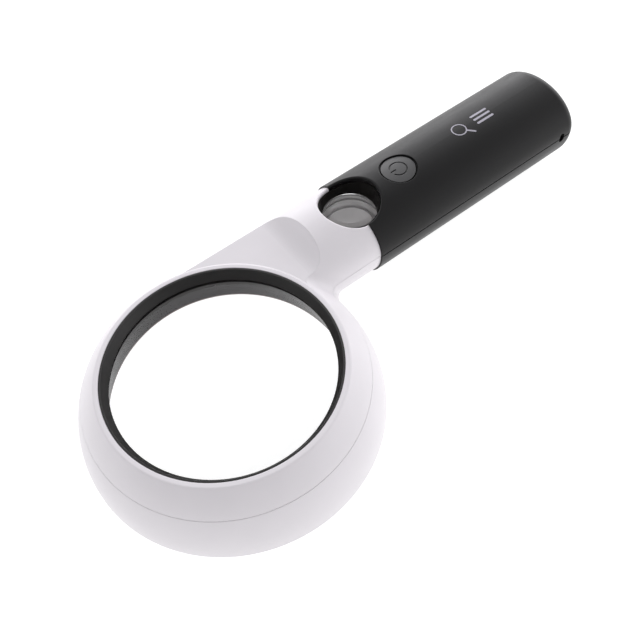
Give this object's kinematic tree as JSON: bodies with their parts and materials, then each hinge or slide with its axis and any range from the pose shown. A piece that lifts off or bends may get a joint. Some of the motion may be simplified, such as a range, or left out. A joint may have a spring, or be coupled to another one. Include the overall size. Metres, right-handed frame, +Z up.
{
  "type": "low vision magnifier",
  "caption": "Lit hand magnifier that also stands on the page: round domed head with a large lens, offset handle with a spot lens, push button and battery door.",
  "frame": {"origin": "on the main lens axis, in the plane that the head and the handle rest on", "axes": "+X along the handle from the lens to the butt, +Z up out of the top of the lens, +Y towards the side that the handle is offset to"},
  "size_m": [0.216, 0.101, 0.0324],
  "materials": {
    "white_shell": "satin moulded ABS",
    "black_shell": "fine matt moulded ABS",
    "black_trim": "satin moulded plastic",
    "button_plastic": "matt moulded plastic",
    "clear_lens": "polished clear acrylic",
    "frosted": "frosted translucent polycarbonate",
    "step_ring": "satin grey plastic",
    "circuit_board": "white solder mask",
    "green_board": "green solder mask",
    "led_white": "white lamp package with yellow phosphor",
    "switch_case": "moulded",
    "resistor_chip": "printed ceramic chip",
    "nickel": "nickel plated spring steel",
    "zinc_screw": "zinc plated steel",
    "cell_wrap": "printed film wrap",
    "wire_red": "PVC insulation",
    "wire_black": "PVC insulation"
  },
  "bodies": {
    "body": {"upper_head_shell": "white_shell", "lower_head_shell": "white_shell", "lens_bezel": "black_trim", "main_lens": "clear_lens", "lens_retainer": "black_trim", "led_ring_board": "circuit_board", "head_leds": "led_white", "light_diffuser": "frosted", "reflector_ring": "white_shell", "spot_lens": "clear_lens", "spot_lens_sleeve": "black_trim", "spot_lens_retainer": "step_ring", "upper_handle_shell": "black_shell", "lower_handle_shell": "black_shell", "switch_body": "switch_case", "switch_board": "green_board", "switch_resistors": "resistor_chip", "board_screws": "zinc_screw", "battery_cradle": "black_trim", "battery_springs": "nickel", "contact_plates": "nickel", "shell_screws": "zinc_screw", "lamp_wire_positive": "wire_red", "lamp_wire_negative": "wire_black", "battery_wire_positive": "wire_red", "battery_wire_negative": "wire_black", "aaa_cell_1": "cell_wrap", "aaa_cell_2": "cell_wrap", "aaa_cell_3": "cell_wrap"},
    "power_button": {"power_button": "button_plastic", "switch_plunger": "switch_case"},
    "battery_door": {"battery_door": "black_shell"}
  },
  "joints": [
    {"name": "button_press", "type": "slide", "parent": "body", "child": "power_button", "axis": [0, 0, -1], "range_m": [0, 0.0006], "stiffness_N_per_m": 900, "springref_m": -0.0008},
    {"name": "door_swing", "type": "hinge", "parent": "body", "child": "battery_door", "pos_m": [0.104, 0.0246, 0], "axis": [0, 1, 0], "range_deg": [0, 80]}
  ]
}
